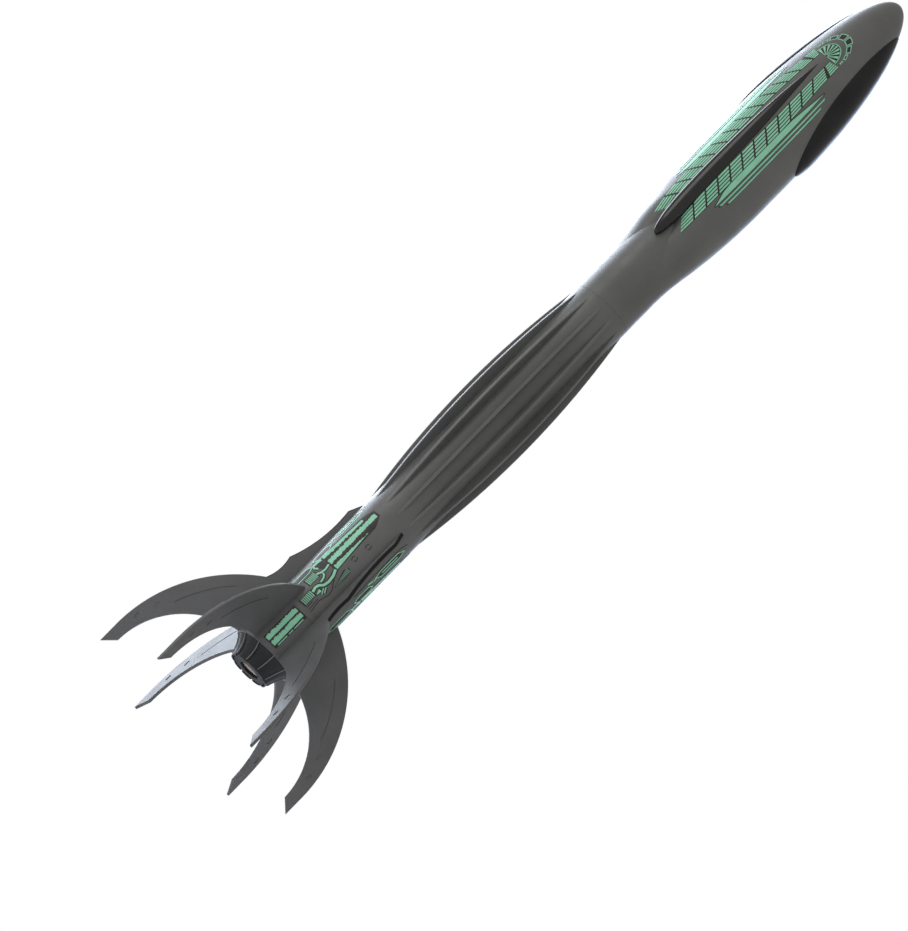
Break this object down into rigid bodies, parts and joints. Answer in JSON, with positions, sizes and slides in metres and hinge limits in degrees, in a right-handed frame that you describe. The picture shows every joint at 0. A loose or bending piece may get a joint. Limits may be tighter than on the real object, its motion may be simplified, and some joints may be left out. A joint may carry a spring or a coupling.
{
  "type": "model rocket",
  "caption": "Flying model rocket: sickle fins and bow-shaped strakes round a paper tube, petalled tail nozzle, and a long bulbous nose that pulls off over a packed parachute.",
  "frame": {"origin": "centre of the plane of the six fin tips that the rocket stands on", "axes": "+Z along the rocket's axis towards the nose; -Y is the side of the nose's dorsal spine"},
  "size_m": [0.138, 0.1582, 0.6495],
  "materials": {
    "hull_paint": "satin dark grey sprayed paint over sealed paper tube",
    "fin_paint": "satin dark grey, thin engraved lines",
    "strake_paint": "satin dark grey",
    "gloss_black": "deep gloss near-black",
    "nozzle_plastic": "satin dark grey moulded plastic",
    "moulded_plastic": "moulded grey plastic, fine mould texture",
    "modelling_clay": "dull modelling clay",
    "plated_wire": "zinc plated wire",
    "mount_paper": "brown kraft paper with spiral seam",
    "retainer_plastic": "black nylon, matt",
    "motor_paper": "kraft paper casing with a plain coloured band",
    "motor_clay": "pressed grey clay",
    "propellant": "pressed black grain",
    "canopy_film": "thin folded parachute canopy",
    "wadding_tissue": "crumpled flame-proof tissue",
    "lug_paper": "painted paper tube",
    "standoff_wood": "painted balsa"
  },
  "bodies": {
    "airframe": {"body_tube": "hull_paint", "tail_sleeve": "hull_paint", "fin_1": "fin_paint", "fin_2": "fin_paint", "fin_3": "fin_paint", "fin_4": "fin_paint", "fin_5": "fin_paint", "fin_6": "fin_paint", "strake_01": "strake_paint", "strake_02": "strake_paint", "strake_03": "strake_paint", "strake_04": "strake_paint", "strake_05": "strake_paint", "strake_06": "strake_paint", "strake_07": "strake_paint", "strake_08": "strake_paint", "strake_09": "strake_paint", "strake_10": "strake_paint", "strake_11": "strake_paint", "strake_12": "strake_paint", "tail_nozzle": "nozzle_plastic", "motor_tube": "mount_paper", "centering_ring_rear": "mount_paper", "centering_ring_front": "mount_paper", "thrust_ring": "mount_paper", "retainer_collar": "retainer_plastic", "shock_cord_mount": "mount_paper", "launch_lug_rear": "lug_paper", "launch_lug_front": "lug_paper", "lug_standoff_rear": "standoff_wood", "lug_standoff_front": "standoff_wood"},
    "nose_section": {"nose_shell": "hull_paint", "nose_shoulder": "moulded_plastic", "screw_eye": "plated_wire", "nose_spine": "gloss_black", "eye_panel_right": "gloss_black", "eye_panel_left": "gloss_black", "nose_weight": "modelling_clay"},
    "motor": {"motor_casing": "motor_paper", "motor_nozzle": "motor_clay", "propellant_grain": "propellant", "delay_grain": "propellant", "ejection_charge": "propellant", "clay_cap": "motor_clay"},
    "screw_cap": {"retainer_cap": "retainer_plastic"},
    "parachute": {"parachute_pack": "canopy_film"},
    "wadding": {"recovery_wadding": "wadding_tissue"}
  },
  "joints": [
    {"name": "nose_release", "type": "slide", "parent": "airframe", "child": "nose_section", "axis": [0, 0, 1], "range_m": [0, 0.24]},
    {"name": "parachute_eject", "type": "slide", "parent": "airframe", "child": "parachute", "axis": [0, 0, 1], "range_m": [0, 0.16]},
    {"name": "wadding_eject", "type": "slide", "parent": "airframe", "child": "wadding", "axis": [0, 0, 1], "range_m": [0, 0.145]},
    {"name": "motor_slide", "type": "slide", "parent": "airframe", "child": "motor", "axis": [0, 0, -1], "range_m": [0, 0.09]},
    {"name": "cap_unscrew", "type": "slide", "parent": "airframe", "child": "screw_cap", "axis": [0, 0, -1], "range_m": [0, 0.1]}
  ],
  "couplings": [
    {"joint": "parachute_eject", "follows": "nose_release", "ratio": 0.65},
    {"joint": "wadding_eject", "follows": "nose_release", "ratio": 0.56},
    {"joint": "cap_unscrew", "follows": "motor_slide", "ratio": 1.1}
  ]
}
